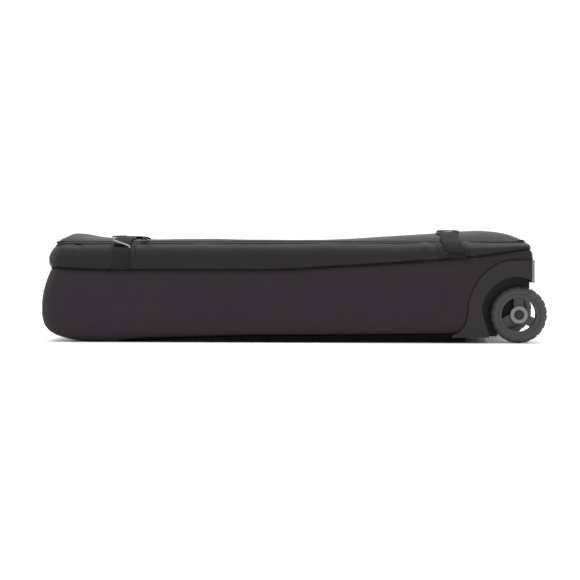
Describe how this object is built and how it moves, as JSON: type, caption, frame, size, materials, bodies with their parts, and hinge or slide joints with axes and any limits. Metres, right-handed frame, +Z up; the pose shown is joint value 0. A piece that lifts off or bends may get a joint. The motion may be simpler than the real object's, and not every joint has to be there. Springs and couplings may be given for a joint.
{
  "type": "snowboard bag",
  "caption": "Long padded gear bag with a zipped hinged lid, strap closures, a skid tray and a pair of corner wheels.",
  "frame": {"origin": "on the floor under the middle of the bag's box", "axes": "+X along the bag to its wheel end, +Y across to the side that the lid hinges on, +Z up"},
  "size_m": [1.0788, 0.3672, 0.2458],
  "materials": {
    "ripstop": "fine ripstop grid, low sheen",
    "coated_fabric": "smooth coated cloth, satin",
    "patch_fabric": "plain reinforcing cloth",
    "webbing": "woven nylon webbing",
    "piping": "corded seam tape",
    "zip_coil": "nylon coil on tape",
    "slider_metal": "black painted zinc",
    "hook_aluminium": "satin",
    "steel": "plated",
    "hub_metal": "machined ring",
    "glide_plastic": "acetal",
    "housing_plastic": "moulded, fine grain",
    "bumper_plastic": "moulded, satin grey",
    "skid_plastic": "moulded, scuff resistant",
    "board_plastic": "sheet",
    "rail_aluminium": "mill finish",
    "tyre_rubber": "soft grey rubber",
    "wheel_plastic": "moulded spokes"
  },
  "bodies": {
    "tub": {"axle_bolts": "steel", "axle_nuts": "steel", "base_board": "board_plastic", "base_panel": "ripstop", "bumper_bar": "bumper_plastic", "bumper_screws": "steel", "far_shoulder": "coated_fabric", "far_side_panel": "ripstop", "far_web_head": "webbing", "far_web_wheel": "webbing", "frame_rails": "rail_aluminium", "handle_patch": "patch_fabric", "haul_handle": "webbing", "head_end_panel": "ripstop", "head_shoulder": "coated_fabric", "near_shoulder": "coated_fabric", "near_side_panel": "ripstop", "near_web_head": "webbing", "near_web_wheel": "webbing", "patch_far_head": "patch_fabric", "patch_far_wheel": "patch_fabric", "patch_near_head": "patch_fabric", "patch_near_wheel": "patch_fabric", "seam_piping": "piping", "skid_screws": "steel", "skid_tray": "skid_plastic", "strap_keeper_head": "steel", "strap_keeper_wheel": "steel", "tie_buckle_plug_head": "glide_plastic", "tie_buckle_plug_wheel": "glide_plastic", "tie_buckle_socket_head": "glide_plastic", "tie_buckle_socket_wheel": "glide_plastic", "tie_strap_head": "webbing", "tie_strap_wheel": "webbing", "wheel_end_panel": "ripstop", "wheel_housing_far": "housing_plastic", "wheel_housing_near": "housing_plastic", "wheel_shoulder": "coated_fabric", "zip_shell_side": "zip_coil"},
    "lid": {"lid_panel": "coated_fabric", "zip_lid_side": "zip_coil", "lid_strap_head": "webbing", "lid_strap_wheel": "webbing", "strap_hook_head": "hook_aluminium", "strap_hook_wheel": "hook_aluminium", "strap_glide_head": "glide_plastic", "strap_glide_wheel": "glide_plastic"},
    "slider": {"zip_slider": "slider_metal"},
    "pull": {"zip_pull": "slider_metal"},
    "wheel_near": {"tyre_near": "tyre_rubber", "rim_near": "wheel_plastic", "bearings_near": "steel", "hub_ring_near": "hub_metal", "bearing_spacer_near": "steel"},
    "wheel_far": {"tyre_far": "tyre_rubber", "rim_far": "wheel_plastic", "bearings_far": "steel", "hub_ring_far": "hub_metal", "bearing_spacer_far": "steel"}
  },
  "joints": [
    {"name": "lid_hinge", "type": "hinge", "parent": "tub", "child": "lid", "pos_m": [0, 0.15, 0.219], "axis": [-1, 0, 0], "range_deg": [0, 110]},
    {"name": "zip_slide", "type": "slide", "parent": "lid", "child": "slider", "axis": [1, 0, 0], "range_m": [0, 0.56]},
    {"name": "pull_hinge", "type": "hinge", "parent": "slider", "child": "pull", "pos_m": [-0.3165, -0.15, 0.223], "axis": [0, -1, 0], "range_deg": [0, 165]},
    {"name": "wheel_near_spin", "type": "hinge", "parent": "tub", "child": "wheel_near", "pos_m": [0.4795, -0.155, 0.06], "axis": [0, 1, 0], "continuous": true},
    {"name": "wheel_far_spin", "type": "hinge", "parent": "tub", "child": "wheel_far", "pos_m": [0.4795, 0.155, 0.06], "axis": [0, 1, 0], "continuous": true}
  ]
}
